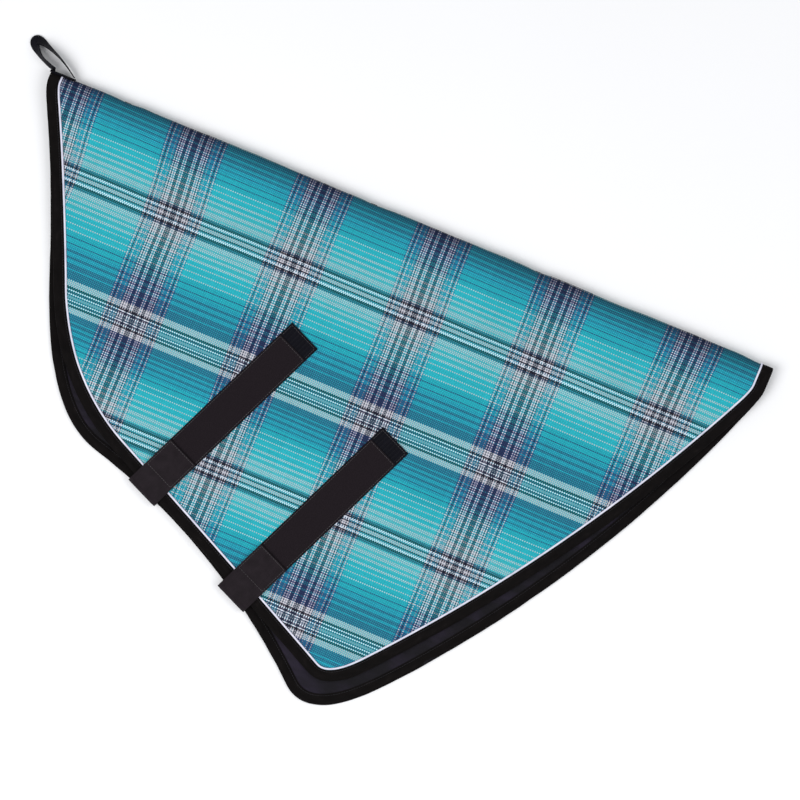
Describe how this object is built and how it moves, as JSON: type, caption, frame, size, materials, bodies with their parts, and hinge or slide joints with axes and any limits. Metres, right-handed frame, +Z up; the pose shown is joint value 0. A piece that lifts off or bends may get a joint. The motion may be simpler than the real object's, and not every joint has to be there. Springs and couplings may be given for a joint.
{
  "type": "horse neck cover",
  "caption": "Plaid mesh fly neck cover for a horse, folded along its crest and lying flat, with black binding, white piping, two touch-and-close throat straps and a poll loop.",
  "frame": {"origin": "middle of the folded cover's footprint, on the floor it lies on", "axes": "+X runs along the crest from the poll to the withers, +Y points from the throat edge to the crest, +Z is up; the near half is on top"},
  "size_m": [1.0932, 0.6918, 0.0225],
  "materials": {
    "plaid_mesh": "PVC-coated polyester mesh woven in a turquoise, navy and white plaid, slight sheen",
    "lining": "dark purple-navy satin with a soft sheen",
    "binding": "matt black ribbed tape",
    "piping": "smooth white bead",
    "webbing": "charcoal-black woven webbing, matt",
    "loop_tape": "black loop pile, matt",
    "hook_tape": "black nylon hooks, slightly glossy",
    "thread": "dark polyester thread"
  },
  "bodies": {
    "off_side": {"off_side_mesh": "plaid_mesh", "off_side_lining": "lining", "off_side_binding": "binding", "off_side_piping": "piping", "throat_tab_anchor": "webbing", "chest_tab_anchor": "webbing"},
    "near_side": {"near_side_mesh": "plaid_mesh", "near_side_lining": "lining", "near_side_binding": "binding", "near_side_piping": "piping", "throat_strip_backing": "webbing", "throat_strip_loop_tape": "loop_tape", "chest_strip_backing": "webbing", "chest_strip_loop_tape": "loop_tape"},
    "crest": {"crest_mesh_fold": "plaid_mesh", "crest_lining_fold": "lining", "poll_binding_fold": "binding", "withers_binding_fold": "binding", "crest_tack_1": "thread", "crest_tack_2": "thread", "crest_tack_3": "thread", "poll_loop_anchor": "webbing"},
    "poll_loop": {"poll_loop": "webbing"},
    "throat_tab": {"throat_tab_webbing": "webbing", "throat_tab_hook_tape": "hook_tape"},
    "chest_tab": {"chest_tab_webbing": "webbing", "chest_tab_hook_tape": "hook_tape"}
  },
  "joints": [
    {"name": "crest_fold", "type": "hinge", "parent": "off_side", "child": "near_side", "pos_m": [0, 0.30555, 0.0101], "axis": [-1, 0, 0], "range_deg": [0, 180], "deforming": ["crest_mesh_fold", "crest_lining_fold", "poll_binding_fold", "withers_binding_fold", "poll_loop_anchor"]},
    {"name": "crest_turn", "type": "hinge", "parent": "off_side", "child": "crest", "pos_m": [0, 0.30555, 0.0101], "axis": [-1, 0, 0], "range_deg": [0, 90]},
    {"name": "poll_loop_swing", "type": "hinge", "parent": "crest", "child": "poll_loop", "pos_m": [-0.4929, 0.30555, 0.0101], "axis": [-1, 0, 0], "range_deg": [-25, 25]},
    {"name": "throat_tab_peel", "type": "hinge", "parent": "off_side", "child": "throat_tab", "pos_m": [-0.17909, -0.1677, 0.02105], "axis": [0.915, -0.4035, 0], "range_deg": [0, 170], "deforming": ["throat_tab_webbing", "throat_tab_hook_tape"]},
    {"name": "chest_tab_peel", "type": "hinge", "parent": "off_side", "child": "chest_tab", "pos_m": [-0.01318, -0.25426, 0.02105], "axis": [0.915, -0.4035, 0], "range_deg": [0, 170], "deforming": ["chest_tab_webbing", "chest_tab_hook_tape"]}
  ],
  "couplings": [
    {"joint": "crest_turn", "follows": "crest_fold", "ratio": 0.5}
  ]
}
